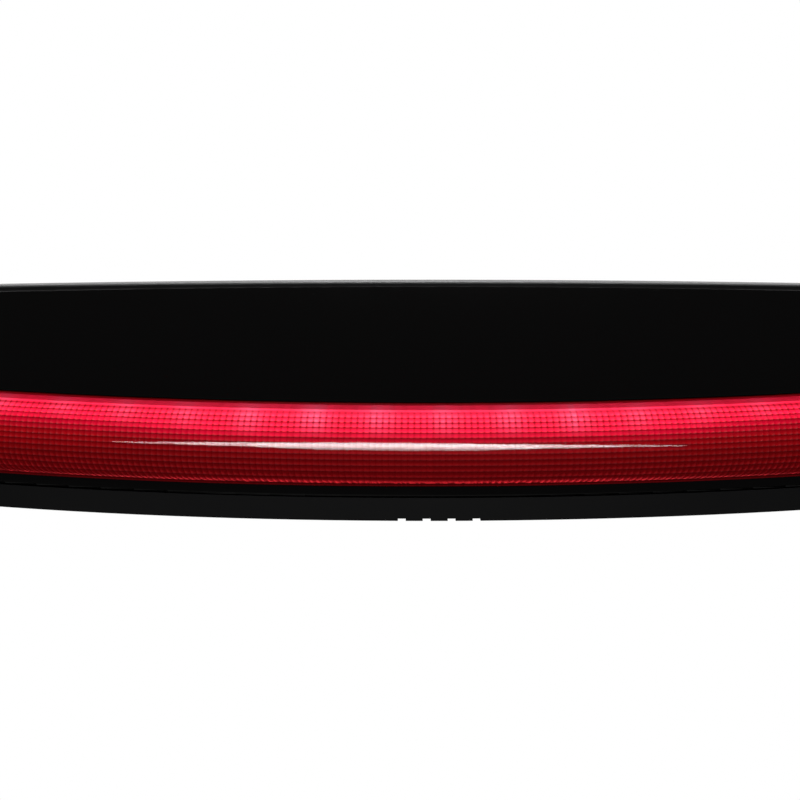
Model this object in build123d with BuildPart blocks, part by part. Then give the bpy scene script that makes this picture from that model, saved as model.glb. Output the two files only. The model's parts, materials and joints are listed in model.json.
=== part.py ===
from build123d import *

import os
from math import asin, cos, degrees, radians, sin, sqrt

os.makedirs("parts", exist_ok=True)

# Wrap-round third brake light: a bowed LED lamp for a car's tailgate, with its catches and mounting studs.
# Sizes are in millimetres. +Z is up on the car and the lens faces -Y, towards the traffic behind.
# The origin is midway between the two mounting studs, on the plane of the pads that they stand on.
# The whole lamp is bowed about one vertical axis, so most pieces are a section, drawn as
# (distance from the bow axis, height), turned about that axis.

# Driving dimensions
seat_radius = 282.0  # car panel that the gasket lies on, from the bow axis
stud_spacing = 180.0
bow_centre_y = sqrt(seat_radius**2 - (stud_spacing / 2) ** 2) - 0.25  # puts the stud pads at y = 0

gasket_thickness = 3.0
flange_thickness = 3.0
wall = 2.0

body_half_width = 151.0
body_top = 17.9
body_bottom = -39.5
top_arch_radius = 1560.0
top_corner = 22.0
bottom_corner = 15.0

lens_half_width = 139.0
lens_bottom = -30.4
lens_profile_radius = 34.1
lens_low_tilt = 12.0  # how far the lens surface looks up at its lower edge, in degrees
lens_high_tilt = 50.0  # and at its upper edge
lens_thickness = 2.5
lens_front_radius = 313.0  # of the lens's lower edge

led_count = 16
led_pitch = 3.1  # degrees about the bow axis
led_height = -20.8

chamber_half_width = 120.0
chamber_back = 271.0
gap = 0.3  # between the lens and its window

# Worked-out sizes
flange_back = seat_radius + gasket_thickness
flange_front = flange_back + flange_thickness
weld_radius = flange_front + 8.0  # where the chamber wall ends and the lens's skirt begins
lens_arc_centre = lens_front_radius - lens_profile_radius * cos(radians(lens_low_tilt))
lens_arc_height = lens_bottom - lens_profile_radius * sin(radians(lens_low_tilt))
lens_top = lens_arc_height + lens_profile_radius * sin(radians(lens_high_tilt))
lens_top_radius = lens_arc_centre + lens_profile_radius * cos(radians(lens_high_tilt))
cover_bottom = lens_bottom - gap - 2.6
cover_front = lens_front_radius - 0.6
cover_half_width = body_half_width - 1.0
cover_top = body_top - 1.0
cover_wall = 2.2
plate_foot = lens_top_radius - 0.2  # outer face of the upper plate, beside the lens
plate_head = flange_front + 3.3  # and at its top edge
skirt_top = cover_bottom - 0.3
led_angles = [(n - (led_count - 1) / 2) * led_pitch for n in range(led_count)]
sweep_angle = 36.0  # half of the turn that every full-width section takes, past the body's ends
far = 60.0  # more than the lamp's depth or height from the middle

bow_axis = Axis((0, bow_centre_y, 0), (0, 0, 1))


def station(angle):
    """Plane through the bow axis, at an angle from the middle: x runs away from the axis, y up."""
    a = radians(angle)
    return Plane((0, bow_centre_y, 0), x_dir=(sin(a), -cos(a), 0), z_dir=(-cos(a), -sin(a), 0))


def facing(angle, radius, height=0.0):
    """Plane that touches the bow at an angle and radius: x runs along the lamp, y up, z to the front."""
    a = radians(angle)
    at = (radius * sin(a), bow_centre_y - radius * cos(a), height)
    return Plane(at, x_dir=(cos(a), sin(a), 0), z_dir=(sin(a), -cos(a), 0))


def bowed(points, half_angle=sweep_angle, mode=Mode.ADD, middle=0.0):
    """Turns a closed section of (radius, height) points about the bow axis."""
    with BuildSketch(station(middle - half_angle)) as section:
        with BuildLine():
            Polyline(*points, close=True)
        make_face()
    revolve(section.sketch, axis=bow_axis, revolution_arc=2 * half_angle, mode=mode)


def bowed_box(low_radius, high_radius, low, high, half_angle=sweep_angle, mode=Mode.ADD, middle=0.0):
    """A bowed bar of rectangular section."""
    section = ((low_radius, low), (high_radius, low), (high_radius, high), (low_radius, high))
    bowed(section, half_angle, mode, middle)


def trim_to_body(inset, mode=Mode.INTERSECT):
    """Cuts with the body's front outline: level below, arched above, rounded at the corners."""
    half_width = body_half_width - inset
    top = body_top - inset
    bottom = body_bottom + inset
    shoulder = top - top_arch_radius + sqrt(top_arch_radius**2 - half_width**2)
    with BuildSketch(Plane.XZ) as outline:
        with BuildLine():
            arch = ThreePointArc((-half_width, shoulder), (0, top), (half_width, shoulder))
            Polyline(arch @ 1, (half_width, bottom), (-half_width, bottom), arch @ 0)
        make_face()
        fillet(outline.vertices().group_by(Axis.Y)[-1], top_corner - inset)
        fillet(outline.vertices().group_by(Axis.Y)[0], bottom_corner - inset)
    extrude(outline.sketch, amount=2 * far, both=True, mode=mode)


def trim_to_slot(half_width, low, high, corner, mode=Mode.INTERSECT):
    """Cuts with a rounded rectangle seen from the front."""
    with BuildSketch(Plane.XZ) as slot:
        with Locations((0, (low + high) / 2)):
            RectangleRounded(2 * half_width, high - low, corner)
    extrude(slot.sketch, amount=2 * far, both=True, mode=mode)


def lens_form(profile_radius, back, mode=Mode.ADD):
    """Turns the bulging lens profile about the bow axis, filled back to a radius."""
    centre = (lens_arc_centre, lens_arc_height)
    with BuildSketch(station(-sweep_angle)) as section:
        with BuildLine():
            bulge = CenterArc(centre, profile_radius, -4, 62)
            Polyline(bulge @ 1, (back, (bulge @ 1).Y), (back, (bulge @ 0).Y), bulge @ 0)
        make_face()
    revolve(section.sketch, axis=bow_axis, revolution_arc=2 * sweep_angle, mode=mode)


def rod(at, direction, radius, length, mode=Mode.ADD):
    """A round bar that starts at a point and runs along a direction."""
    with BuildSketch(Plane(at, z_dir=direction)) as section:
        Circle(radius)
    extrude(section.sketch, amount=length, mode=mode)


# Lens
seal_thickness = 0.8
skirt_foot = weld_radius + seal_thickness

with BuildPart() as lens_hollow:
    lens_form(lens_profile_radius - lens_thickness, skirt_foot - 5)
    trim_to_slot(lens_half_width - wall, lens_bottom + wall, lens_top - wall, 5.0)

with BuildPart() as lens:
    lens_form(lens_profile_radius, skirt_foot)
    trim_to_slot(lens_half_width, lens_bottom, lens_top, 7.0)
    add(lens_hollow.part, mode=Mode.SUBTRACT)

with BuildPart() as lens_seal:
    bowed_box(weld_radius, skirt_foot, lens_bottom - 5, lens_top + 5)
    trim_to_slot(lens_half_width, lens_bottom, lens_top, 7.0)
    trim_to_slot(lens_half_width - wall, lens_bottom + wall, lens_top - wall, 5.0, Mode.SUBTRACT)

# Fixings that several pieces share
stud_places = [(side * stud_spacing / 2, 0.0) for side in (-1, 1)]
stud_radius = 2.5
stud_neck_radius = 3.1  # plain neck, pressed into the pad
stud_length = 18.0  # behind the pads
stud_boss_radius = 6.5
stud_boss_depth = 8.5  # from the pad to the underside of the stud's square head
stud_head = (8.0, 2.5)  # width and thickness

cover_screw_height = -4.5
cover_screw_angles = [degrees(asin(x / flange_back)) for x in (-125.0, -50.0, 0.0, 50.0, 125.0)]
cover_screw_seat = flange_back + 4.8
cover_screw_radius = 1.5
cover_screw_bore = cover_screw_radius + 0.15
cover_screw_tip = cover_screw_seat + 6.4
cover_pad_front = cover_screw_seat + 2.4
cover_pad_height = 5.7  # as far as the inside of the upper plate

strip_back = chamber_back + 5.6
strip_front = strip_back + 1.0
solder = 0.03  # under a flat part on the bowed strip
strip_half_angle = 24.6
strip_low = led_height - 5.6
strip_high = led_height + 5.6
strip_screw_angles = [n * led_pitch for n in (-7, -3, 3, 7)]
strip_screw_radius = 1.25
peg_angles = [n * led_pitch for n in (-5, 5)]
peg_radius = 1.2

socket_size = (17.0, 11.4)
socket_wall = 1.4
socket_mouth = chamber_back - 15.0
pin_offset = 2.5
pin_section = (2.8, 0.8)

vent_angle = -12.4
vent_radius = 1.5


# Front cover
plate_middle = (plate_foot + plate_head) / 2 + 0.5  # the upper plate is slightly crowned
plate_slope = (plate_foot - plate_head) / (cover_top - lens_top)


def cover_form(inset, back):
    """Turns the cover's section, inset by a wall and filled back to a radius, and trims it."""
    run_out = 1.0  # carries the plate past the top outline, which then trims it
    foot = (plate_foot - inset, lens_top)
    crown = (plate_middle - inset, (lens_top + cover_top) / 2)
    head = (plate_head - plate_slope * run_out - inset, cover_top + run_out)
    low_front = (cover_front - inset, cover_bottom + inset)
    with BuildSketch(station(-sweep_angle)) as section:
        with BuildLine():
            ThreePointArc(foot, crown, head)
            Polyline(head, (back, head[1]), (back, low_front[1]), low_front)
            Polyline(low_front, (low_front[0], lens_bottom), foot)
        make_face()
        fillet(section.vertices().sort_by(Axis.Y)[:2].sort_by(Axis.X)[-1], 0.6)
    revolve(section.sketch, axis=bow_axis, revolution_arc=2 * sweep_angle)
    trim_to_body(1.0 + inset)


with BuildPart() as cover_hollow:
    cover_form(cover_wall, flange_front - 5)

with BuildPart() as front_cover:
    cover_form(0.0, flange_front)
    add(cover_hollow.part, mode=Mode.SUBTRACT)
    trim_to_slot(lens_half_width + gap, lens_bottom - gap, lens_top + gap, 7.0 + gap, Mode.SUBTRACT)
    for angle in cover_screw_angles:
        with BuildSketch(facing(angle, cover_pad_front, cover_screw_height)):
            Circle(3.3)
            Circle(cover_screw_radius, mode=Mode.SUBTRACT)
        extrude(amount=cover_pad_height)


# Rear housing
skirt_front = cover_front - 0.4
skirt_bay_half_width = 133.0
rib_angles = [n * 4.4 for n in range(-5, 6)]
rib_half_angle = 0.13
back_rib_angles = [n * led_pitch for n in (-7, -6, -5, -3, -2, 2, 3, 4, 5, 6, 7)]
notch_pitch = 6.25
notch_angles = [degrees((3.0 + (n - 1.5) * notch_pitch) / skirt_front) for n in range(4)]
notch_half_angle = degrees(1.0 / skirt_front)
notch_depth = 0.65


def bowed_slot(low_radius, high_radius, inset, half_width=lens_half_width, mode=Mode.ADD):
    """A bowed block with the lens's outline, inset all round, when seen from the front."""
    with BuildPart() as block:
        bowed_box(low_radius, high_radius, lens_bottom - 5, lens_top + 5)
        trim_to_slot(half_width - inset, lens_bottom + inset, lens_top - inset, 7.0 - inset)
    add(block.part, mode=mode)


def drill(angle, low_radius, high_radius, height, radius, mode=Mode.SUBTRACT):
    """A round hole, or a round boss, square to the bow."""
    with BuildSketch(facing(angle, low_radius, height)) as section:
        Circle(radius)
    extrude(section.sketch, amount=high_radius - low_radius, mode=mode)


# each catch slides square to the bow's radius, in a guide beyond the end of the chamber
catch_angle = 28.2
catch_height = led_height
guide_back = 274.7  # radius of the guide's open face
guide_roof = 280.8  # radius of the inside of the guide, next to the flange
guide_inner = -11.0  # guide and channel, along the catch's travel from its middle
guide_outer = 8.0
channel_inner = -5.0
channel_outer = 6.5
guide_half_height = 5.5
channel_half_height = 4.0
nose_half_height = 2.8
catch_clearance = 0.3
catch_travel = 3.0
catch_screw_place = -7.6
catch_cover_inner = -10.0
sides = {"left": -1, "right": 1}


def catch_plane(side, radius):
    """Faces out at a catch: x runs away from the lamp's middle, y up or down, z to the front."""
    face = facing(side * catch_angle, radius, catch_height)
    return Plane(face.origin, x_dir=face.x_dir * side, z_dir=face.z_dir)


def catch_block(side, inner, outer, half_height, low_radius, high_radius, mode=Mode.ADD):
    """A block in a catch's own directions."""
    with BuildSketch(catch_plane(side, low_radius)) as section:
        with Locations(((inner + outer) / 2, 0)):
            Rectangle(outer - inner, 2 * half_height)
    extrude(section.sketch, amount=high_radius - low_radius, mode=mode)


with BuildPart() as skirt:
    bowed_box(flange_front - 1, skirt_front, body_bottom - 1, skirt_top)
    trim_to_body(0.0)
    lip_edges = skirt.faces().filter_by(GeomType.CYLINDER).sort_by(Axis.Y)[0].edges()
    fillet(lip_edges.sort_by(Axis.Z)[:-1], 0.45)  # all but the edge under the cover

with BuildPart() as skirt_hollow:
    bowed_box(flange_front, skirt_front - wall, body_bottom - 5, skirt_top - wall)
    trim_to_slot(skirt_bay_half_width, body_bottom - 5, skirt_top - wall, 1.0)

with BuildPart() as rear_housing:
    bowed_box(flange_back, flange_front, body_bottom - 5, body_top + 5)
    trim_to_body(0.0)
    fillet(rear_housing.faces().sort_by(Axis.Y)[0].edges(), 0.8)
    # skirt below the cover: a shelf, and a lip that hangs from its front edge
    add(skirt.part)
    add(skirt_hollow.part, mode=Mode.SUBTRACT)
    for angle in rib_angles:
        with BuildSketch(facing(angle, flange_front - 0.5, (skirt_top + body_bottom) / 2)):
            Rectangle(1.5, skirt_top - body_bottom - 2)
        extrude(amount=skirt_front - flange_front - 0.5)
    for angle in notch_angles:
        bowed_box(skirt_front - wall - 1, skirt_front + 1, body_bottom - 1, body_bottom + notch_depth,
                  notch_half_angle, Mode.SUBTRACT, angle)
    # lamp chamber: a wall that carries the lens, and a deeper pocket for the strip and reflector
    bowed_slot(flange_front - 1, weld_radius, 0.0)
    bowed_slot(chamber_back, flange_front, 0.0, chamber_half_width)
    bowed_slot(flange_front, weld_radius + 1, wall, mode=Mode.SUBTRACT)
    bowed_slot(chamber_back + wall, flange_front + 1, wall, chamber_half_width, Mode.SUBTRACT)
    # screwed fixing of the cover: pads in front, sunk heads behind
    for angle in cover_screw_angles:
        drill(angle, flange_front - 1, cover_pad_front, cover_screw_height, 4.7, Mode.ADD)
        drill(angle, flange_back - 1, cover_screw_seat, cover_screw_height, 3.3)
        drill(angle, cover_screw_seat - 1, cover_pad_front + 1, cover_screw_height, cover_screw_bore)
    # pads that the studs stand on, each with a square pocket that stops the stud from turning
    for x, height in stud_places:
        rod((x, 0, height), (0, -1, 0), stud_boss_radius, stud_boss_depth + stud_head[1])
        with BuildSketch(Plane((x, -stud_boss_depth, height), z_dir=(0, -1, 0))):
            Rectangle(stud_head[0], stud_head[0])
        extrude(amount=stud_head[1] + 1, mode=Mode.SUBTRACT)
        rod((x, 1, height), (0, -1, 0), stud_neck_radius, stud_boss_depth + 2, Mode.SUBTRACT)
    # stand-offs for the LED strip
    for angle in strip_screw_angles:
        drill(angle, chamber_back + wall - 0.5, strip_back - solder, led_height, 2.6, Mode.ADD)
        drill(angle, chamber_back + wall, strip_back + 1, led_height, strip_screw_radius)
    # socket for the car's plug
    with BuildSketch(facing(0, socket_mouth, led_height)):
        RectangleRounded(socket_size[0], socket_size[1], 2.4)
    extrude(amount=chamber_back + 0.5 - socket_mouth)
    with BuildSketch(facing(0, socket_mouth - 1, led_height)):
        RectangleRounded(socket_size[0] - 2 * socket_wall, socket_size[1] - 2 * socket_wall, 1.2)
    extrude(amount=chamber_back + 1 - socket_mouth, mode=Mode.SUBTRACT)
    with BuildSketch(facing(0, socket_mouth + 2, led_height + socket_size[1] / 2)):
        Rectangle(4.4, 2.4)
    extrude(amount=3.5, taper=12)
    # upright ribs that stiffen the chamber's back
    for angle in back_rib_angles:
        bowed_box(chamber_back - 1.2, chamber_back + 0.5, lens_bottom + 2, lens_top - 2,
                  rib_half_angle, Mode.ADD, angle)
    # the two pins pass through one block of sealant
    with BuildSketch(facing(0, chamber_back - 1, led_height)):
        RectangleRounded(4 * pin_offset, 3.4, 1.2)
    extrude(amount=wall + 2, mode=Mode.SUBTRACT)
    # breather
    drill(vent_angle, chamber_back - 2.2, chamber_back + 0.5, led_height, 3.0, Mode.ADD)
    drill(vent_angle, chamber_back - 3, chamber_back + wall + 1, led_height, vent_radius)
    # guides for the catches
    for side in sides.values():
        catch_block(side, guide_inner, guide_outer, guide_half_height, guide_back, flange_back + 0.5)
        catch_block(side, channel_inner, channel_outer, channel_half_height, guide_back - 1, guide_roof,
                    Mode.SUBTRACT)
        slot_half_height = nose_half_height + catch_clearance
        catch_block(side, 0, guide_outer + 1, slot_half_height, guide_back - 1, guide_roof, Mode.SUBTRACT)
        with BuildSketch(catch_plane(side, guide_back - 1)):
            with Locations((catch_screw_place, 0)):
                Circle(1.0)
        extrude(amount=6.0, mode=Mode.SUBTRACT)


# Lamp unit
package_height = 1.4
reflector_back = strip_front + 2.0
reflector_front = weld_radius - 1.6
cup_mouth = (15.4, 12.0)

with BuildPart() as led_strip:
    bowed_box(strip_back, strip_front, strip_low, strip_high, strip_half_angle)
    for angle in strip_screw_angles:
        drill(angle, strip_back - 1, strip_front + 1, led_height, strip_screw_radius + 0.15)
    for angle in peg_angles:
        drill(angle, strip_back - 1, strip_front + 1, led_height, peg_radius + 0.1)
    for offset in (-pin_offset, pin_offset):
        with BuildSketch(facing(0, strip_back - 1, led_height)):
            with Locations((offset, 0)):
                Rectangle(pin_section[0], pin_section[1])
        extrude(amount=3.0, mode=Mode.SUBTRACT)

with BuildPart() as led_packages:
    for angle in led_angles:
        with BuildSketch(facing(angle, strip_front + solder, led_height)):
            RectangleRounded(3.5, 3.0, 0.4)
        extrude(amount=package_height)

with BuildPart() as led_domes:
    for angle in led_angles:
        with BuildSketch(facing(angle, strip_front + solder + package_height, led_height)):
            Circle(1.2)
        extrude(amount=0.9, taper=25)

with BuildPart() as reflector:
    bowed_slot(reflector_back, reflector_front, wall + 0.3, chamber_half_width)
    for angle in led_angles:
        with BuildSketch(facing(angle, reflector_back - 0.5, led_height)):
            Circle(2.3)
        with BuildSketch(facing(angle, reflector_front + 0.5, led_height)):
            RectangleRounded(cup_mouth[0], cup_mouth[1], 4.5)
        loft(mode=Mode.SUBTRACT)
    for angle in peg_angles:
        drill(angle, strip_back - 0.8, reflector_back + 1, led_height, peg_radius, Mode.ADD)

with BuildPart() as strip_screws:
    for angle in strip_screw_angles:
        drill(angle, chamber_back + wall, strip_front, led_height, strip_screw_radius, Mode.ADD)
        with BuildSketch(facing(angle, strip_front, led_height)):
            Circle(2.3)
        extrude(amount=1.5, taper=15)
        with BuildSketch(facing(angle, strip_front + 1.6, led_height)):
            Rectangle(2.2, 0.5)
            Rectangle(0.5, 2.2)
        extrude(amount=-0.9, mode=Mode.SUBTRACT)


def chips(angles, height, size):
    """Small flat-sided parts soldered on the back of the strip: size is along, up and away from it."""
    for angle in angles:
        with BuildSketch(facing(angle, strip_back - solder, height)) as outline:
            Rectangle(size[0], size[1])
        extrude(outline.sketch, amount=-size[2])


with BuildPart() as resistors:
    chips([n * led_pitch for n in (-6, -4, -2, -1, 1, 2, 4, 6)], led_height + 3.4, (3.2, 1.6, 0.6))

with BuildPart() as diodes:
    chips([-1.7, 1.7], led_height - 3.4, (4.3, 2.6, 2.1))

with BuildPart() as capacitor:
    chips([4.7], led_height - 2.6, (3.5, 2.8, 1.9))

with BuildPart() as regulators:
    chips([-15.5, -6.2, 6.2, 15.5], led_height - 3.0, (4.5, 2.5, 1.5))

with BuildPart() as contact_pins:
    for offset in (-pin_offset, pin_offset):
        with BuildSketch(facing(0, chamber_back - 8, led_height)):
            with Locations((offset, 0)):
                Rectangle(pin_section[0], pin_section[1])
        extrude(amount=strip_front + 0.9 - (chamber_back - 8))
    tips = contact_pins.faces().sort_by(Axis.Y)[-2:]
    chamfer(tips.edges(), 0.25)

with BuildPart() as pin_seal:
    with BuildSketch(facing(0, chamber_back, led_height)):
        RectangleRounded(4 * pin_offset, 3.4, 1.2)
        with Locations((-pin_offset, 0), (pin_offset, 0)):
            Rectangle(pin_section[0], pin_section[1], mode=Mode.SUBTRACT)
    extrude(amount=wall)


# Seals, breather and fasteners
with BuildPart() as gasket_hollow:
    bowed_box(seat_radius - 1, flange_back + 1, body_bottom - 5, body_top + 5)
    trim_to_body(8.0)

with BuildPart() as body_gasket:
    bowed_box(seat_radius, flange_back, body_bottom - 5, body_top + 5)
    trim_to_body(3.0)
    add(gasket_hollow.part, mode=Mode.SUBTRACT)

with BuildPart() as vent_membrane:
    drill(vent_angle, chamber_back - 2.5, chamber_back - 2.2, led_height, 2.6, Mode.ADD)

with BuildPart() as vent_cap:
    with BuildSketch(facing(vent_angle, chamber_back - 4.6, led_height)):
        Circle(4.6)
    extrude(amount=4.3)
    fillet(vent_cap.edges().sort_by(Axis.Y)[-1], 1.0)
    drill(vent_angle, chamber_back - 3.2, chamber_back, led_height, 3.05)
    for turn in range(3):
        with BuildSketch(facing(vent_angle, chamber_back - 1.4, led_height)):
            Rectangle(12, 1.2, rotation=60 * turn)
        extrude(amount=1.2, mode=Mode.SUBTRACT)

with BuildPart() as mounting_studs:
    for x, height in stud_places:
        rod((x, stud_length, height), (0, -1, 0), stud_radius, stud_length)
        rod((x, 0, height), (0, -1, 0), stud_neck_radius, stud_boss_depth)
        with BuildSketch(Plane((x, -stud_boss_depth, height), z_dir=(0, -1, 0))):
            RectangleRounded(stud_head[0] - 0.1, stud_head[0] - 0.1, 0.8)
        extrude(amount=stud_head[1])
    chamfer(mounting_studs.faces().sort_by(Axis.Y)[-2:].edges(), 0.6)

with BuildPart() as cover_screws:
    for angle in cover_screw_angles:
        drill(angle, cover_screw_seat, cover_screw_tip, cover_screw_height, cover_screw_radius, Mode.ADD)
        with BuildSketch(facing(angle, cover_screw_seat, cover_screw_height)):
            Circle(2.9)
        extrude(amount=-2.2, taper=12)
        with BuildSketch(facing(angle, cover_screw_seat - 2.4, cover_screw_height)):
            Rectangle(3.0, 0.6)
            Rectangle(0.6, 3.0)
        extrude(amount=1.5, mode=Mode.SUBTRACT)


# Catches
catch_back = guide_back + catch_clearance
catch_front = guide_roof - catch_clearance
catch_inner = -1.5
catch_outer = channel_outer - catch_clearance
catch_half_height = channel_half_height - catch_clearance
nose_tip = 12.0
spring_radius = 1.6
spring_wire = 0.2  # radius
spring_turns = 7
spring_end = 3.0
spring_room = spring_radius + spring_wire + 0.2
catch_middle = (catch_back + catch_front) / 2
cover_plate = 1.5
tab = (0.5, 2.5, 1.2)  # inner end, outer end and half height of the release tab


def catch(side):
    """A moulded latch with a sloped nose, a bore for its spring and a tab to let it go by hand."""
    depth = catch_front - catch_back
    up = -side  # the nose is drawn from above, where the front lies this way on the sketch
    with BuildPart() as latch:
        catch_block(side, catch_inner, catch_outer, catch_half_height, catch_back, catch_front)
        guide = catch_plane(side, catch_back)
        underside = guide.origin - Vector(0, 0, nose_half_height)
        with BuildSketch(Plane(underside, x_dir=guide.x_dir, z_dir=(0, 0, 1))):
            with BuildLine():
                Polyline(
                    (catch_outer - 1, 0),
                    (guide_outer + 0.6, 0),
                    (nose_tip, up * (depth - 1.6)),
                    (nose_tip, up * depth),
                    (catch_outer - 1, up * depth),
                    close=True,
                )
            make_face()
        extrude(amount=2 * nose_half_height)
        catch_block(side, tab[0], tab[1], tab[2], catch_back - 4.5, catch_back + 1)
        middle = catch_plane(side, catch_middle)
        bore_start = middle.origin + middle.x_dir * (catch_inner - 1)
        rod(bore_start, middle.x_dir, spring_room, spring_end + 1 - catch_inner, Mode.SUBTRACT)
    return latch


def catch_spring(side):
    """Compression spring between the guide's end and the bottom of the catch's bore."""
    start = catch_plane(side, catch_middle)
    inner = start.origin + start.x_dir * (channel_inner + spring_wire + 0.05)
    length = spring_end - channel_inner - 2 * spring_wire - 0.1
    with BuildPart() as coil:
        with BuildLine():
            turns = Helix(length / spring_turns, length, spring_radius, inner, start.x_dir)
        with BuildSketch(Plane(turns @ 0, z_dir=turns % 0)):
            Circle(spring_wire)
        sweep(path=turns)
    return coil


def catch_cover(side):
    """Flat plate over a guide, slotted for the release tab."""
    with BuildPart() as plate:
        plate_back = guide_back - cover_plate
        slot_inner = tab[0] - catch_travel - 0.5
        slot_outer = tab[1] + 0.5
        catch_block(side, catch_cover_inner, guide_outer, guide_half_height, plate_back, guide_back)
        catch_block(side, slot_inner, slot_outer, tab[2] + 0.4, plate_back - 1, guide_back + 1,
                    Mode.SUBTRACT)
        with BuildSketch(catch_plane(side, guide_back - 3)):
            with Locations((catch_screw_place, 0)):
                Circle(1.15)
        extrude(amount=4.0, mode=Mode.SUBTRACT)
    return plate


with BuildPart() as catch_screws:
    for side in sides.values():
        with BuildSketch(catch_plane(side, guide_back - cover_plate)):
            with Locations((catch_screw_place, 0)):
                Circle(1.0)
        extrude(amount=6.0)
        with BuildSketch(catch_plane(side, guide_back - cover_plate)):
            with Locations((catch_screw_place, 0)):
                Circle(1.8)
        extrude(amount=-1.4, taper=12)
        with BuildSketch(catch_plane(side, guide_back - cover_plate - 1.5)):
            with Locations((catch_screw_place, 0)):
                Rectangle(2.0, 0.45)
                Rectangle(0.45, 2.0)
        extrude(amount=0.9, mode=Mode.SUBTRACT)

# Write one file for each piece
pieces = {
    "rear_housing": rear_housing,
    "front_cover": front_cover,
    "lens": lens,
    "lens_seal": lens_seal,
    "led_strip": led_strip,
    "led_packages": led_packages,
    "led_domes": led_domes,
    "reflector": reflector,
    "strip_screws": strip_screws,
    "resistors": resistors,
    "diodes": diodes,
    "capacitor": capacitor,
    "regulators": regulators,
    "contact_pins": contact_pins,
    "pin_seal": pin_seal,
    "body_gasket": body_gasket,
    "vent_membrane": vent_membrane,
    "vent_cap": vent_cap,
    "mounting_studs": mounting_studs,
    "cover_screws": cover_screws,
    "catch_screws": catch_screws,
}
for name, side in sides.items():
    pieces[f"catch_{name}"] = catch(side)
    pieces[f"catch_spring_{name}"] = catch_spring(side)
    pieces[f"catch_cover_{name}"] = catch_cover(side)

for name, piece in pieces.items():
    piece.part.label = name
    export_step(piece.part, f"parts/{name}.step")
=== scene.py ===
import json
from math import asin, cos, pi, radians, sin

import bmesh
import bpy
import numpy as np
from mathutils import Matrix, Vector


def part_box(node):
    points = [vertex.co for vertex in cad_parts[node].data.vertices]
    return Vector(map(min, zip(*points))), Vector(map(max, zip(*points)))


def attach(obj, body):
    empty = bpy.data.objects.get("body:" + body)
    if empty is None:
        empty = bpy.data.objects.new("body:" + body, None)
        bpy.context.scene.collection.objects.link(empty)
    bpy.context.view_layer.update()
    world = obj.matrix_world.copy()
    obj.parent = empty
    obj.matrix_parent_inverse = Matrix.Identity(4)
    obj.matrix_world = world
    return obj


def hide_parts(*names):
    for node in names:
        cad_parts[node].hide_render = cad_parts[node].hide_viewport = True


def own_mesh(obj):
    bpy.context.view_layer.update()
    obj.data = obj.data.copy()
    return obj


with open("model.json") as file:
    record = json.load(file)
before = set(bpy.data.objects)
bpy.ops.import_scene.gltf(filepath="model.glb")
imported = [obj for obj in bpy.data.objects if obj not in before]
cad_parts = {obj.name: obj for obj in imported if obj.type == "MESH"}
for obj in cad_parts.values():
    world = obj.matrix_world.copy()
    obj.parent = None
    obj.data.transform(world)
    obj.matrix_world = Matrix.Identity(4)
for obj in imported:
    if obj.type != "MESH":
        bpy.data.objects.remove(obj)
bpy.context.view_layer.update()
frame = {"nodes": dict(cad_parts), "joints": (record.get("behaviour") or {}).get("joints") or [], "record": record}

scene = bpy.context.scene
mm = 0.001
print("frame loaded:", len(frame["nodes"]), "nodes")


class Val:
    # wraps a socket, so that shader maths can be written as a sum
    def __init__(self, tree, socket):
        self.tree = tree
        self.socket = socket

    def maths(self, operation, first, second, clamp=False):
        node = self.tree.nodes.new("ShaderNodeMath")
        node.operation = operation
        node.use_clamp = clamp
        plug(self.tree, node.inputs[0], first)
        plug(self.tree, node.inputs[1], second)
        return Val(self.tree, node.outputs[0])

    def __add__(self, other):
        return self.maths("ADD", self, other)

    def __radd__(self, other):
        return self.maths("ADD", other, self)

    def __sub__(self, other):
        return self.maths("SUBTRACT", self, other)

    def __rsub__(self, other):
        return self.maths("SUBTRACT", other, self)

    def __mul__(self, other):
        return self.maths("MULTIPLY", self, other)

    def __rmul__(self, other):
        return self.maths("MULTIPLY", other, self)

    def clamped(self):
        return self.maths("ADD", self, 0.0, clamp=True)


def plug(tree, socket, value):
    # a link if the value comes from another node, a fixed value if not
    if isinstance(value, Val):
        tree.links.new(value.socket, socket)
    else:
        socket.default_value = value


def rgb(red, green, blue):
    return (red, green, blue, 1.0)


def scaled(colour, factor):
    # a colour made lighter or darker
    return tuple(min(1.0, part * factor) for part in colour[:3]) + (1.0,)


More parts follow.
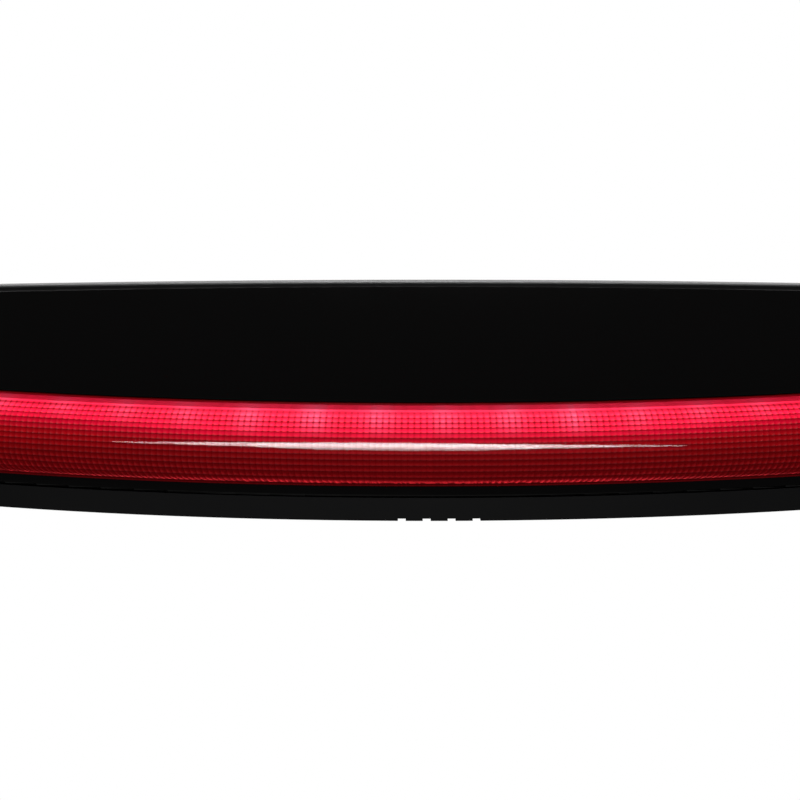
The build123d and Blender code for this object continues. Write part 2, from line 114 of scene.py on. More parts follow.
class Shader:
    # one material and the few ways that its nodes are made
    def __init__(self, name):
        self.material = bpy.data.materials.new(name)
        self.material.use_nodes = True
        self.tree = self.material.node_tree
        self.tree.nodes.clear()
        self.output = self.tree.nodes.new("ShaderNodeOutputMaterial")

    def node(self, kind, settings=None, output=0, **inputs):
        # settings first, then the sockets: Base_Color stands for "Base Color", and i6 for socket 6
        made = self.tree.nodes.new(kind)
        for key, value in (settings or {}).items():
            if key == "stops":
                ramp = made.color_ramp
                while len(ramp.elements) < len(value):
                    ramp.elements.new(1.0)
                for element, (place, colour) in zip(ramp.elements, value):
                    element.position = place
                    element.color = colour
            else:
                setattr(made, key, value)
        for key, value in inputs.items():
            byNumber = key[0] == "i" and key[1:].isdigit()
            socket = made.inputs[int(key[1:])] if byNumber else made.inputs[key.replace("_", " ")]
            plug(self.tree, socket, value)
        return Val(self.tree, made.outputs[output])

    def noise(self, scale, detail=2.0, rough=0.5, stretch=(1.0, 1.0, 1.0)):
        place = self.node("ShaderNodeMapping", Vector=self.node("ShaderNodeTexCoord", output="Object"),
                          Scale=stretch)
        return self.node("ShaderNodeTexNoise", Vector=place, Scale=scale, Detail=detail, Roughness=rough)

    def cells(self, scale):
        place = self.node("ShaderNodeTexCoord", output="Object")
        return self.node("ShaderNodeTexVoronoi", output="Distance", Vector=place, Scale=scale)

    def mix(self, fac, first, second, blend="MIX"):
        kind = {"data_type": "RGBA", "blend_type": blend}
        return self.node("ShaderNodeMix", kind, 2, i0=fac, i6=first, i7=second)

    def bump(self, height, strength, distance):
        return self.node("ShaderNodeBump", Strength=strength, Distance=distance, Height=height)

    def attribute(self, name):
        return self.node("ShaderNodeAttribute", {"attribute_name": name}, "Fac")

    def finish(self, **inputs):
        body = self.node("ShaderNodeBsdfPrincipled", **inputs)
        plug(self.tree, self.output.inputs["Surface"], body)
        return self.material


def mend(mesh, mergeWithin=0.0, turnOut=True):
    # joins points that lie together, and turns the faces outwards
    work = bmesh.new()
    work.from_mesh(mesh)
    if mergeWithin > 0.0:
        bmesh.ops.remove_doubles(work, verts=work.verts, dist=mergeWithin)
    if turnOut:
        bmesh.ops.recalc_face_normals(work, faces=work.faces)
    work.to_mesh(mesh)
    work.free()


def meshPiece(name, points, faces, materials, smoothAngle=None, faceSlots=None, layers=None):
    # puts points and faces into a mesh, at the origin, and closes its seams if it is smoothed
    mesh = bpy.data.meshes.new(name)
    faceRows = faces.tolist() if isinstance(faces, np.ndarray) else faces
    mesh.from_pydata(np.asarray(points).tolist(), [], faceRows)
    for material in materials:
        mesh.materials.append(material)
    if faceSlots is not None:
        mesh.polygons.foreach_set("material_index", np.asarray(faceSlots, dtype=np.int32))
    for key, values in (layers or {}).items():
        mesh.attributes.new(key, "FLOAT", "POINT").data.foreach_set("value", values.astype(np.float32))
    if smoothAngle is not None:
        mend(mesh, 0.001 * mm, turnOut=False)
        mesh.shade_smooth()
        mesh.set_sharp_from_angle(angle=radians(smoothAngle))
    mesh.update()
    piece = bpy.data.objects.new(name, mesh)
    scene.collection.objects.link(piece)
    return piece


def gridFaces(rows, columns, start=0, flip=False, wrap=False):
    # quads between the points of a rows x columns grid, the last column joined to the first if wrap
    r = np.arange(rows - 1)[:, None]
    c = np.arange(columns if wrap else columns - 1)[None, :]
    nextC = (c + 1) % columns
    near, far = r * columns, (r + 1) * columns
    quads = np.stack([near + c, near + nextC, far + nextC, far + c], -1)
    quads = quads.reshape(-1, 4) + start
    return quads[:, ::-1] if flip else quads


view = {
    "elevation": radians(9.0),
    "distance": 1.0,
    "frameWidth": 0.200,  # at the lens
    "sensorWidth": 36.0,
    "clipStart": 0.01,
    "aim": (-0.0068, -0.040, -0.0096),
}
lights = {
    "streak": {"elevation": 48.5, "azimuth": -3.7, "distance": 1.0, "sizes": (1.16, 0.050), "power": 1.7},
    "streak_middle": {"elevation": 47.9, "azimuth": -3.9, "distance": 1.0, "sizes": (0.86, 0.085),
                      "power": 2.2},
    "streak_core": {"elevation": 47.1, "azimuth": -4.2, "distance": 1.0, "sizes": (0.56, 0.125),
                    "power": 2.0},
    "top": {"elevation": 98.0, "azimuth": 0.0, "distance": 1.6, "sizes": (0.56, 0.20), "power": 74.0},
    "fill_left": {"elevation": 25.0, "azimuth": -140.0, "distance": 1.8, "sizes": (1.4, 0.9), "power": 16.0},
    "fill_right": {"elevation": 25.0, "azimuth": 140.0, "distance": 1.8, "sizes": (1.4, 0.9), "power": 16.0},
    "back": {"elevation": 40.0, "azimuth": 180.0, "distance": 1.8, "sizes": (1.8, 0.8), "power": 26.0},
}
studio = {
    "glow": 0.03,  # brightness of the room, as the lamp sees it
    "floorGrey": 0.04,
    "floorHeight": -0.30,
    "floorHalfSize": 8.0,
    "lightCentre": Vector((0.0, -0.03, -0.012)),
}


def makeCamera():
    lookDown = Vector((0.0, cos(view["elevation"]), -sin(view["elevation"])))
    data = bpy.data.cameras.new("camera")
    data.sensor_width = view["sensorWidth"]
    data.lens = view["sensorWidth"] * view["distance"] / view["frameWidth"]
    data.clip_start = view["clipStart"]
    camera = bpy.data.objects.new("camera", data)
    camera.location = Vector(view["aim"]) - lookDown * view["distance"]
    camera.rotation_euler = (pi / 2 - view["elevation"], 0.0, 0.0)
    scene.collection.objects.link(camera)
    scene.camera = camera
    scene.view_settings.view_transform = "Standard"
    scene.view_settings.look = "None"


def areaLight(name, row):
    # azimuth 0 stands in front of the lens, elevation above the level
    data = bpy.data.lights.new(name, "AREA")
    data.shape = "ELLIPSE" if name.startswith("streak") else "RECTANGLE"
    data.size, data.size_y = row["sizes"]
    data.energy = row["power"]
    lamp = bpy.data.objects.new(name, data)
    up, turn = radians(row["elevation"]), radians(row["azimuth"])
    outward = Vector((sin(turn) * cos(up), -cos(turn) * cos(up), sin(up)))
    lamp.location = studio["lightCentre"] + outward * row["distance"]
    lamp.rotation_euler = outward.to_track_quat("Z", "Y").to_euler()
    scene.collection.objects.link(lamp)


def makeRoom():
    # the room and the floor are white to the camera and dim to the lamp, whose gloss stays deep
    world = bpy.data.worlds.new("studio")
    scene.world = world
    world.use_nodes = True
    tree = world.node_tree
    path = tree.nodes.new("ShaderNodeLightPath")
    blend = tree.nodes.new("ShaderNodeMix")
    blend.data_type = "RGBA"
    blend.inputs[6].default_value = rgb(studio["glow"], studio["glow"], studio["glow"])
    blend.inputs[7].default_value = rgb(1.0, 1.0, 1.0)
    tree.links.new(path.outputs["Is Camera Ray"], blend.inputs[0])
    tree.links.new(blend.outputs[2], tree.nodes["Background"].inputs["Color"])
    s = Shader("floor_white")
    seen = s.node("ShaderNodeLightPath", output="Is Camera Ray")
    lit = s.node("ShaderNodeEmission", Color=rgb(1.0, 1.0, 1.0), Strength=1.0)
    grey = studio["floorGrey"]
    plain = s.node("ShaderNodeBsdfDiffuse", Color=rgb(grey, grey, grey))
    plug(s.tree, s.output.inputs["Surface"], s.node("ShaderNodeMixShader", i0=seen, i1=plain, i2=lit))
    half, level = studio["floorHalfSize"], studio["floorHeight"]
    corners = [(-half, -half, level), (half, -half, level), (half, half, level), (-half, half, level)]
    meshPiece("floor", corners, [(0, 1, 2, 3)], [s.material])


makeCamera()
for lightName, lightRow in lights.items():
    areaLight(lightName, lightRow)
makeRoom()
print("camera, light and floor made")


lensForm = {
    "frontRadius": 313 * mm,  # of the lower edge, about the lamp's bow axis
    "backRadius": 296.8 * mm,
    "lowTilt": radians(12.0),
    "highTilt": radians(50.0),
    "corner": 7 * mm,
    "wall": 0.4 * mm,
    "skin": 1.3 * mm,  # clear thickness in front of the pillows
    "cellSag": 0.15 * mm,
    "cellsAcross": 180,
    "cellsUp": 13,
    "plainBand": 0.135,  # part of the height, at the top, that has no pillows
    "bandRows": 5,
    "stepsPerCell": 4,
    # the led entries place and weigh a painted glow, in columns in front of the LEDs, which are not lit
    "ledPitch": radians(3.1),
    "ledDrift": radians(0.73),  # the painted glow columns lie a little to one side of the LEDs
    "ledSpread": 0.21,  # of the pitch
    "ledReach": 62 * mm,  # how far from the middle the painted glow columns are at their brightest
    "fallStart": 45 * mm,  # beyond this, the painted lit part of the lens draws up towards its top edge
    "fallWidth": 50 * mm,
    "fallShare": 0.13,
    "fallFrom": 0.35,  # part of the height at which the drawing up begins
    "fallOver": 0.3,  # and how far it takes to reach its full amount
    "lowEdge": 0.04,  # the lowest part of the height, whose painted highlight line fades outwards
    "lowLift": 0.03,  # how far up it reads there
    "ledDraws": 40,  # painted glow strengths drawn, more than there are LEDs, with the middle ones halfway
    "ledWeakest": 0.55,  # of the strongest
    "ledFar": 0.45,  # painted glow strength of a column far from the middle
}
lensLow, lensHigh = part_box("lens")
bowY = lensLow[1] + lensForm["frontRadius"]
profileRadius = (lensHigh[2] - lensLow[2]) / (sin(lensForm["highTilt"]) - sin(lensForm["lowTilt"]))
arcRadius = lensForm["frontRadius"] - profileRadius * cos(lensForm["lowTilt"])
arcHeight = lensLow[2] - profileRadius * sin(lensForm["lowTilt"])
lensHalfWidth = (lensHigh[0] - lensLow[0]) / 2


def lensOutline(height, inset):
    # half width of the lens at a height: full, less what a round corner takes off
    low, high = lensLow[2] + inset, lensHigh[2] - inset
    corner = lensForm["corner"] - inset
    reach = np.maximum(np.maximum(low + corner - height, height - (high - corner)), 0.0)
    return lensHalfWidth - inset - corner + np.sqrt(np.maximum(corner**2 - reach**2, 0.0))


def lensSheet(across, tilt, depth, inset, sink=0.0):
    # a sheet at a depth under the lens's outer face: tilt runs up the profile's arc, x is across (-1..1)
    # times the outline's half width at that height, and y lies on the circle about the bow axis
    profile = profileRadius - depth - sink
    height = arcHeight + profile * np.sin(tilt)
    radius = arcRadius + profile * np.cos(tilt)
    x = across * lensOutline(np.clip(height, lensLow[2] + inset, lensHigh[2] - inset), inset)
    y = bowY - np.sqrt(radius**2 - x**2)
    return np.stack(np.broadcast_arrays(x, y, height), -1)


def tiltEnds(depth, inset):
    # tilts at which a sheet of that depth meets the inset lower and upper edges
    profile = profileRadius - depth
    return [asin((edge - arcHeight) / profile) for edge in (lensLow[2] + inset, lensHigh[2] - inset)]


def borderLoop(sheet):
    # the sheet's border, once round
    return np.concatenate([sheet[0, :-1], sheet[:-1, -1], sheet[-1, :0:-1], sheet[:0:-1, 0]])


def atSeat(edge):
    # the border moved straight back to the circle that the lens is welded on
    moved = edge.copy()
    moved[:, 1] = bowY - np.sqrt(lensForm["backRadius"]**2 - edge[:, 0]**2)
    return moved


def pillowLayers(share, cellRows, points, rows, columns):
    # Values for the pillows' colour, one for each point of a sheet: how far up it lies, which sets a painted
    # light, how near a column is to an LED (a bell curve, for a painted glow), a seeded unevenness from cell to
    # cell, and whether it lies on a cell's border, where a painted shade goes.
    step = lensForm["stepsPerCell"]
    chance = np.random.default_rng(7)
    byColumn = chance.uniform(-0.5, 0.5, lensForm["cellsAcross"] + 1)
    byCell = chance.uniform(-0.5, 0.5, (lensForm["cellsUp"] + 3, lensForm["cellsAcross"] + 1))
    rowOf = np.minimum(np.arange(rows) // step, lensForm["cellsUp"])
    columnOf = np.arange(columns) // step
    # a painted glow in a bell curve about each LED's column, its strength drawn for each LED and falling off away
    # from the middle
    bearing = np.arctan2(points[:, 0], bowY - points[:, 1]) + lensForm["ledDrift"]
    offset = (bearing / lensForm["ledPitch"]) % 1.0 - 0.5
    draws = chance.uniform(lensForm["ledWeakest"], 1.0, lensForm["ledDraws"])
    each = draws[(bearing // lensForm["ledPitch"]).astype(int) + lensForm["ledDraws"] // 2]
    middle = np.exp(-((points[:, 0] / lensForm["ledReach"]) ** 2))
    strength = each * (lensForm["ledFar"] + (1 - lensForm["ledFar"]) * middle)
    # towards the ends the painted lit part draws up to the top edge, and the painted highlight line at the foot
    # fades
    fall = np.clip((np.abs(points[:, 0]) - lensForm["fallStart"]) / lensForm["fallWidth"], 0.0, 1.0)
    height = np.repeat(share, columns)
    drawn = np.clip((height - lensForm["fallFrom"]) / lensForm["fallOver"], 0.0, 1.0)
    lower = lensForm["fallShare"] * drawn - lensForm["lowLift"] * (height < lensForm["lowEdge"])
    inCells = (np.arange(rows) <= cellRows)[:, None]
    rowEdge = (np.arange(rows) % step == 0)[:, None] * inCells * np.ones((1, columns))
    columnEdge = (np.arange(columns) % step == 0)[None, :] * inCells * np.ones((rows, 1))
    return {
        "up": height - fall * lower,
        "spot": np.exp(-((offset / lensForm["ledSpread"]) ** 2)) * strength,
        "tone": (0.5 + 0.6 * byColumn[columnOf][None, :] + 0.4 * byCell[rowOf][:, columnOf]).ravel(),
        "rowEdge": rowEdge.ravel(),
        "columnEdge": columnEdge.ravel(),
    }


def makeLens(skinMaterial, pillowMaterial):
    step = lensForm["stepsPerCell"]
    columns = lensForm["cellsAcross"] * step + 1
    cellRows = lensForm["cellsUp"] * step
    rows = cellRows + lensForm["bandRows"] + 1
    # columns stand at equal turns about the bow axis, so they draw together towards the ends
    turn = asin(lensHalfWidth / lensForm["frontRadius"])
    across = np.sin(np.linspace(-turn, turn, columns))[None, :] / sin(turn)
    share = np.concatenate([np.linspace(0, 1 - lensForm["plainBand"], cellRows + 1),
                            np.linspace(1 - lensForm["plainBand"], 1, lensForm["bandRows"] + 1)[1:]])
    outerTilt = lensForm["lowTilt"] + (lensForm["highTilt"] - lensForm["lowTilt"]) * share
    outer = lensSheet(across, outerTilt[:, None], 0.0, 0.0)
    lowEnd, highEnd = tiltEnds(lensForm["skin"], lensForm["wall"])
    innerTilt = lowEnd + (highEnd - lowEnd) * share
    # pillow relief: a parabola across each cell plus one up it, deepest at the cell's middle
    cellA = (np.arange(columns) % step) / step
    cellB = (np.arange(rows) % step) / step
    inCells = np.arange(rows) <= cellRows
    relief = 4 * cellA * (1 - cellA) * inCells[:, None] + (4 * cellB * (1 - cellB) * inCells)[:, None]
    sink = lensForm["cellSag"] * relief
    inner = lensSheet(across, innerTilt[:, None], lensForm["skin"], lensForm["wall"], sink)
    outerLoop, innerLoop = borderLoop(outer), borderLoop(inner)
    rings = np.concatenate([outerLoop, atSeat(outerLoop), atSeat(innerLoop), innerLoop])
    points = np.concatenate([outer.reshape(-1, 3), inner.reshape(-1, 3), rings])
    sheetSize, ringSize = rows * columns, len(outerLoop)
    skinFaces = gridFaces(rows, columns)
    pillowFaces = gridFaces(rows, columns, sheetSize, flip=True)
    wallFaces = gridFaces(4, ringSize, 2 * sheetSize, flip=True, wrap=True)
    innerWall = np.arange(len(wallFaces)) >= 2 * ringSize
    layers = pillowLayers(share, cellRows, outer.reshape(-1, 3), rows, columns)
    wallShare = np.interp(rings[:, 2], [lensLow[2], lensHigh[2]], [0, 1])
    plain = {"up": wallShare, "spot": 0 * wallShare, "tone": 0.5 + 0 * wallShare, "rowEdge": 0 * wallShare,
             "columnEdge": 0 * wallShare}
    layers = {key: np.concatenate([value, value, plain[key]]) for key, value in layers.items()}
    slots = np.concatenate([np.zeros(len(skinFaces)), np.ones(len(pillowFaces)), innerWall])
    return meshPiece("lens_moulding", points, np.concatenate([skinFaces, pillowFaces, wallFaces]),
                     [skinMaterial, pillowMaterial], 24.0, slots, layers)


def skinFinish():
    # clear polycarbonate with a hard coat: mostly see-through, with its own gloss
    s = Shader("lens_skin")
    haze = s.noise(55.0)
    return s.finish(Base_Color=rgb(0.36, 0.001, 0.006), Alpha=0.16, Roughness=0.04 + 0.03 * haze,
                    Specular_IOR_Level=1.0, Coat_Weight=1.0, Coat_Roughness=0.02, Coat_IOR=1.7)


pillowColours = {
    # the up ramp is painted light: a painted highlight line at the foot, dark red below, and bright red towards
    # the top, where the light from above falls
    "up": [(0.0, rgb(0.10, 0.0005, 0.001)), (0.015, rgb(0.55, 0.016, 0.024)),
           (0.045, rgb(0.13, 0.0002, 0.001)), (0.28, rgb(0.10, 0.0, 0.0)), (0.44, rgb(0.20, 0.0, 0.002)),
           (0.54, rgb(0.46, 0.001, 0.02)), (0.62, rgb(0.92, 0.010, 0.055)),
           (0.80, rgb(1.0, 0.020, 0.075)), (1.0, rgb(1.0, 0.032, 0.10))],
    # the painted glow's pinkish colour
    "spot": rgb(1.0, 0.16, 0.30),
    # the colour of a painted shade along the pillows' borders
    "paintedBorderShade": rgb(0.24, 0.05, 0.07),
    "uneven": rgb(0.62, 0.30, 0.34),
    "unevenAmount": 0.45,
    "paintedGlowLeast": 0.15,
    "paintedGlowByTone": 0.75,
    "rowBorderShade": 0.85,
    "columnBorderShade": 0.15,
    "columnBorderShadeLit": 0.6,  # added to it in the painted lit part
    "borderShadeFade": 0.5,  # taken off both towards the top
}


def pillowFinish():
    s = Shader("lens_pillows")
    up, spot, tone = s.attribute("up"), s.attribute("spot"), s.attribute("tone")
    # a painted light by height from the up ramp, with masks for its painted lit upper part and for its top
    base = s.node("ShaderNodeValToRGB", {"stops": pillowColours["up"]}, Fac=up)
    paintedLitPart = (up * 5.0 - 2.7).clamped()  # 0 up to 0.54 of the height, 1 from 0.74
    high = (up * 6.0 - 4.3).clamped()  # 0 up to 0.72 of the height, 1 from 0.88
    # the painted glow over the LED columns, in the painted lit part
    toneShare = pillowColours["paintedGlowLeast"] + tone * pillowColours["paintedGlowByTone"]
    base = s.mix(spot * paintedLitPart * toneShare, base, pillowColours["spot"])
    base = s.mix(tone * pillowColours["unevenAmount"], base, pillowColours["uneven"], "MULTIPLY")
    # painted shade along the pillows' borders: strong on the rows, on the columns mostly in the painted lit part,
    # and weaker towards the top
    rowPart = s.attribute("rowEdge") * pillowColours["rowBorderShade"]
    columnShare = pillowColours["columnBorderShade"] + paintedLitPart * pillowColours["columnBorderShadeLit"]
    soft = 1 - high * pillowColours["borderShadeFade"]
    paintedBorderShade = (rowPart + s.attribute("columnEdge") * columnShare) * soft
    base = s.mix(paintedBorderShade, base, pillowColours["paintedBorderShade"], "MULTIPLY")
    return s.finish(Base_Color=base, Roughness=0.5, Specular_IOR_Level=0.05,
                    Specular_Tint=rgb(1.0, 0.2, 0.25))


lens = makeLens(skinFinish(), pillowFinish())
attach(lens, "lamp")
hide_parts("lens")
print("lens made:", len(lens.data.polygons), "faces")


glossBlackPlastic = {"colour": rgb(0.0016, 0.0015, 0.0015), "dust": rgb(0.005, 0.005, 0.005), "rough": 0.035}


def glossBlack():
    # piano black: a deep base, a very even polish and a little dust
    s = Shader("gloss_black")
    swirl = s.noise(35.0, 3.0)
    specks = (s.noise(2600.0, 2.0, 0.7) * 6.0 - 4.1).clamped()
    base = s.mix(specks, glossBlackPlastic["colour"], glossBlackPlastic["dust"])
    return s.finish(Base_Color=base, Roughness=glossBlackPlastic["rough"] + 0.03 * swirl + 0.12 * specks,
                    Specular_IOR_Level=0.5)


def moulded(name, colour, rough, grain=2200.0, depth=0.02):
    # plastic with a fine spark-eroded texture, flow marks along the moulding, and scuffs
    s = Shader(name)
    fine = s.noise(grain, 3.0, 0.6)
    flow = s.noise(26.0, 3.0, 0.55, (0.35, 1.0, 1.0))
    scuff = (s.noise(240.0, 5.0, 0.7, (0.2, 1.0, 1.0)) * 5.0 - 3.1).clamped()
    base = s.mix(flow, scaled(colour, 0.8), scaled(colour, 1.3))
    base = s.mix(scuff * 0.5, base, scaled(colour, 1.9))
    return s.finish(Base_Color=base, Roughness=(rough - 0.04) + 0.1 * fine + 0.1 * flow - 0.08 * scuff,
                    Specular_IOR_Level=0.3, Normal=s.bump(fine, 0.35, depth * mm))


def foam(name, colour):
    # closed-cell foam: small round pits of many sizes
    s = Shader(name)
    pits = s.cells(1500.0)
    broad = s.noise(120.0, 3.0)
    # darker towards each pit's middle: a painted shade in the pits, beside their real relief from the bump
    base = s.mix(pits, scaled(colour, 0.5), scaled(colour, 1.7))
    return s.finish(Base_Color=s.mix(broad * 0.4, base, scaled(colour, 2.2)), Roughness=0.85 + 0.1 * broad,
                    Specular_IOR_Level=0.2, Normal=s.bump(pits + broad * 0.5, 0.8, 0.25 * mm))


def metal(name, colour, rough, stain=0.82):
    # plated metal: fine drawing lines, blotches of passivation and small scratches
    s = Shader(name)
    lines = s.noise(700.0, 4.0, 0.7, (1.0, 0.15, 1.0))
    blotch = s.noise(160.0, 3.0, 0.6)
    base = s.mix(blotch, colour, scaled(colour, stain))
    return s.finish(Base_Color=s.mix(lines * 0.3, base, scaled(colour, 0.6)), Metallic=1.0,
                    Roughness=rough + 0.16 * lines + 0.08 * blotch, Normal=s.bump(lines, 0.15, 0.01 * mm))


finishes = {
    "cover_gloss_black": glossBlack(),
    "housing_black": moulded("housing_black", rgb(0.0058, 0.0058, 0.0061), 0.5),
    "clear_silicone": moulded("clear_silicone", rgb(0.5, 0.5, 0.48), 0.35, 400.0),
    "board_white": moulded("board_white", rgb(0.72, 0.73, 0.70), 0.4, 3000.0),
    "led_body": moulded("led_body", rgb(0.82, 0.78, 0.62), 0.35),
    "led_dome": moulded("led_dome", rgb(0.8, 0.2, 0.15), 0.15),
    "reflector_silver": metal("reflector_silver", rgb(0.85, 0.85, 0.87), 0.06, 0.95),
    "zinc_steel": metal("zinc_steel", rgb(0.66, 0.66, 0.60), 0.24),
    "chip_black": moulded("chip_black", rgb(0.02, 0.02, 0.02), 0.5),
    "capacitor_amber": moulded("capacitor_amber", rgb(0.5, 0.3, 0.05), 0.4),
    "tinned_brass": metal("tinned_brass", rgb(0.72, 0.7, 0.66), 0.2),
    "foam_black": foam("foam_black", rgb(0.016, 0.016, 0.017)),
    "membrane_white": moulded("membrane_white", rgb(0.8, 0.8, 0.78), 0.7, 900.0, 0.05),
    "rubber_black": moulded("rubber_black", rgb(0.012, 0.012, 0.012), 0.6),
    "catch_natural": moulded("catch_natural", rgb(0.62, 0.6, 0.52), 0.38),
    "spring_steel": metal("spring_steel", rgb(0.55, 0.55, 0.56), 0.18),
}
nodeSlots = {row["node"]: row["material_slot"] for row in frame["record"]["subparts"]}
print("finishes made:", len(finishes))


def shadeBowed(mesh, smoothAngle):
    # Corner normals. A face's normal is taken apart into outward, along and up at its middle, about the bow
    # axis, averaged by area with its neighbours at the corner that turn less than the angle, and put
    # together again at the corner, so that a bowed wall shades round and not as long flats.
    points = np.empty(len(mesh.vertices) * 3)
    mesh.vertices.foreach_get("co", points)
    points = points.reshape(-1, 3)
    faceCount, cornerCount = len(mesh.polygons), len(mesh.loops)
    normals, centres, areas = np.empty(faceCount * 3), np.empty(faceCount * 3), np.empty(faceCount)
    mesh.polygons.foreach_get("normal", normals)
    mesh.polygons.foreach_get("center", centres)
    mesh.polygons.foreach_get("area", areas)
    normals, centres = normals.reshape(-1, 3), centres.reshape(-1, 3)
    cornerPoint = np.empty(cornerCount, dtype=np.int32)
    mesh.loops.foreach_get("vertex_index", cornerPoint)
    cornerFace = np.repeat(np.arange(faceCount), 3)

    def outwardAt(places):
        away = places[:, :2] - np.array([0.0, bowY])
        return away / np.linalg.norm(away, axis=1)[:, None]

    out = outwardAt(centres)
    local = np.stack([normals[:, 0] * out[:, 0] + normals[:, 1] * out[:, 1],
                      normals[:, 1] * out[:, 0] - normals[:, 0] * out[:, 1], normals[:, 2]], -1)
    # every pair of corners that share a point
    order = np.argsort(cornerPoint, kind="stable")
    counts = np.bincount(cornerPoint, minlength=len(points))
    starts = np.concatenate([[0], np.cumsum(counts)[:-1]])
    pairCount = counts[cornerPoint[order]]
    first = np.repeat(order, pairCount)
    step = np.arange(len(first)) - np.repeat(np.concatenate([[0], np.cumsum(pairCount)[:-1]]), pairCount)
    second = order[np.repeat(starts[cornerPoint[order]], pairCount) + step]
    faceA, faceB = cornerFace[first], cornerFace[second]
    close = np.sum(local[faceA] * local[faceB], axis=1) > cos(radians(smoothAngle))
    total = np.zeros((cornerCount, 3))
    np.add.at(total, first[close], local[faceB[close]] * areas[faceB[close]][:, None])
    total /= np.maximum(np.linalg.norm(total, axis=1), 1e-12)[:, None]
    out = outwardAt(points[cornerPoint])
    corner = np.stack([total[:, 0] * out[:, 0] - total[:, 1] * out[:, 1],
                       total[:, 0] * out[:, 1] + total[:, 1] * out[:, 0], total[:, 2]], -1)
    mesh.normals_split_custom_set(corner.tolist())


def smoothCopy(node):
    # the CAD node's own shape with its loose triangles joined, shaded as the bowed surface that it is
    mesh = frame["nodes"][node].data.copy()
    mesh.name = node + "_smooth"
    mend(mesh, smoothing["mergeWithin"])
    mesh.shade_smooth()
    shadeBowed(mesh, smoothing["angle"])
    piece = bpy.data.objects.new(node + "_smooth", mesh)
    scene.collection.objects.link(piece)
    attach(piece, "lamp")
    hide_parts(node)
    return piece


smoothing = {
    "angle": 20.0,
    "mergeWithin": 0.002 * mm,
    "nodes": ("front_cover", "rear_housing", "vent_cap", "body_gasket", "reflector"),
    "remade": ("lens", "mounting_studs", "catch_spring_left", "catch_spring_right"),
}
for nodeName, item in frame["nodes"].items():
    if nodeName in smoothing["remade"]:
        continue
    if nodeName in smoothing["nodes"]:
        item = smoothCopy(nodeName)
    item.data.materials.clear()
    item.data.materials.append(finishes[nodeSlots[nodeName]])
print("finishes given to the CAD pieces")


stud = {
    "crest": 2.5 * mm,
    "root": 2.06 * mm,
    "pitch": 0.8 * mm,
    "neck": 3.1 * mm,
    "headHalf": 3.95 * mm,
    "headThickness": 2.5 * mm,
    "headCorner": 1.3,  # how far the rounded corners reach, in half widths
    "edge": 0.3 * mm,
    "chamfer": 0.55 * mm,
    "flank": 2.7,  # steepness of the thread's flanks
    "around": 36,
    "rowsPerPitch": 8,
}


def studSurface(middleX):
    # A surface of turn and place along the stud, about the line y through x. The radius is a square's at
    # the head, the neck's up to the pad, and behind it a thread: root plus depth times a flat-topped
    # triangle wave of (place / pitch - turn), which starts over one pitch, cut down by a chamfer at the tip.
    low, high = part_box("mounting_studs")
    tip, head = high[1], low[1]
    headEnd = head + stud["headThickness"]
    count = int(round(tip / stud["pitch"])) * stud["rowsPerPitch"]
    shank = np.linspace(0.0, tip, count + 1)
    edge = stud["edge"]
    fixed = np.array([head, head, head + edge, headEnd - edge, headEnd, headEnd, -edge, 0.0])
    kinds = np.array([0, 1, 2, 2, 1, 3, 3, 4])  # 0 middle, 1 and 2 head, 3 neck, 4 step to the shank
    turn = np.linspace(0.0, 2 * pi, stud["around"], endpoint=False)[None, :]
    square = stud["headHalf"] / np.maximum(np.abs(np.cos(turn)), np.abs(np.sin(turn)))
    square = np.minimum(square, stud["headHalf"] * stud["headCorner"])
    neck = 0 * square + stud["neck"]
    radii = [square * 0.0, square - edge, square, neck, neck - edge / 3]
    front = np.concatenate([radii[kind] for kind in kinds])
    phase = (shank[:, None] / stud["pitch"] - turn / (2 * pi)) % 1.0
    thread = np.clip(stud["flank"] / 2 - stud["flank"] * np.abs(phase - 0.5), 0.0, 1.0)
    fade = np.clip(shank / stud["pitch"], 0.0, 1.0)[:, None]
    threaded = stud["crest"] - (stud["crest"] - stud["root"]) * (1 - thread) * fade
    cap = stud["crest"] - stud["chamfer"] + np.maximum(tip - shank, 0.0)
    back = np.minimum(threaded, cap[:, None])
    radius = np.concatenate([front, back, 0 * square])
    y = np.concatenate([fixed, shank, [tip]])[:, None]
    middleZ = (low[2] + high[2]) / 2
    x, z = middleX + radius * np.cos(turn), middleZ + radius * np.sin(turn)
    points = np.stack(np.broadcast_arrays(x, y, z), -1)
    return points.reshape(-1, 3), gridFaces(len(y), stud["around"], wrap=True)


def makeStuds():
    low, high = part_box("mounting_studs")
    reach = (high[0] - low[0]) / 2 - stud["headHalf"]
    leftPoints, faces = studSurface(-reach)
    rightPoints = studSurface(reach)[0]
    points = np.concatenate([leftPoints, rightPoints])
    faces = np.concatenate([faces, faces + len(leftPoints)])
    piece = meshPiece("threaded_studs", points, faces[:, ::-1], [finishes["zinc_steel"]], 35.0)
    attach(piece, "lamp")
    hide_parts("mounting_studs")


spring = {
    "bowRadius": 277.75 * mm,  # from the bow's axis to the catch's own point, on its line of travel
    "bearing": radians(28.2),  # of that point, from the lamp's middle
    "inward": 1.0 * mm,  # from that point to the spring's middle
    "turns": 7,
    "closedTurns": 1.0,  # at each end, wound tight
    "closedRise": 2.1,  # of a closed turn, in wire radii
    "coil": 1.6 * mm,
    "wire": 0.2 * mm,
    "length": 7.9 * mm,
    "around": 8,
    "stepsPerTurn": 22,
    "keep": 0.62,
}


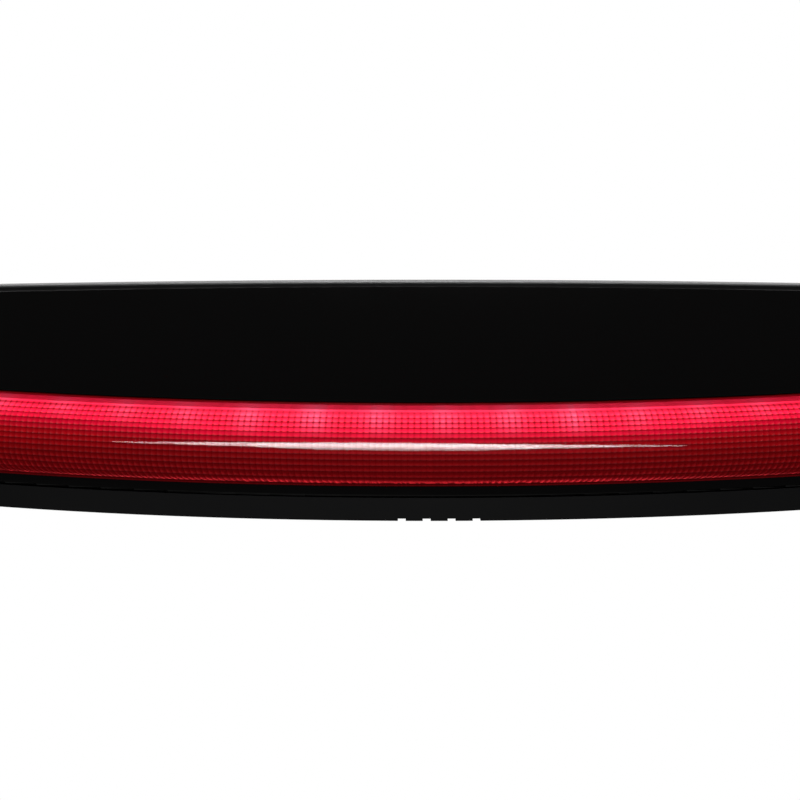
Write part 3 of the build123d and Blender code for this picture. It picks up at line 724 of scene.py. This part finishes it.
def makeSpring(side, joint):
    # A tube along a helix: the wire's middle turns steadily about the catch's line of travel, while its
    # place along the line rises slowly in the closed end turns and evenly between them.
    low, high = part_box("catch_spring_" + side)
    travel = np.array(joint["axis"], dtype=float)
    travel /= np.linalg.norm(travel)
    bearing = spring["bearing"] * (1 if side == "right" else -1)
    middle = np.array([spring["bowRadius"] * sin(bearing), bowY - spring["bowRadius"] * cos(bearing),
                       (low[2] + high[2]) / 2]) + travel * spring["inward"]
    level = np.cross((0.0, 0.0, 1.0), travel)
    count = int((spring["turns"] + 2 * spring["closedTurns"]) * spring["stepsPerTurn"])
    turned = np.linspace(0.0, spring["turns"] + 2 * spring["closedTurns"], count + 1)
    rise = spring["closedRise"] * spring["wire"]
    half = spring["length"] / 2 - spring["wire"]
    closed = spring["closedTurns"]
    places = np.interp(turned, [0, closed, closed + spring["turns"], turned[-1]],
                       [-half, -half + rise, half - rise, half])
    angle = 2 * pi * turned[:, None]
    outward = np.cos(angle) * level + np.sin(angle) * np.array([0.0, 0.0, 1.0])
    line = middle + places[:, None] * travel + spring["coil"] * outward
    turn = np.linspace(0.0, 2 * pi, spring["around"], endpoint=False)[None, :, None]
    thickness = np.full((count + 1, 1, 1), spring["wire"])
    tube = line[:, None, :] + thickness * (np.cos(turn) * outward[:, None, :] + np.sin(turn) * travel)
    points = np.concatenate([line[:1], tube.reshape(-1, 3), line[-1:]])
    around = np.arange(spring["around"])
    nextOne = (around + 1) % spring["around"]
    last = 1 + count * spring["around"]
    faces = gridFaces(count + 1, spring["around"], 1, wrap=True).tolist()
    faces += np.stack([0 * around, nextOne + 1, around + 1], -1).tolist()
    faces += np.stack([0 * around + len(points) - 1, last + around, last + nextOne], -1).tolist()
    piece = meshPiece("coil_spring_" + side, points, faces, [finishes["spring_steel"]])
    mend(piece.data)
    piece.data.shade_smooth()
    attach(piece, "lamp")
    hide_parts("catch_spring_" + side)
    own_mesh(piece)


makeStuds()
for joint in frame["joints"]:
    makeSpring(joint["name"].split("_")[1], joint)
print("studs and springs made")
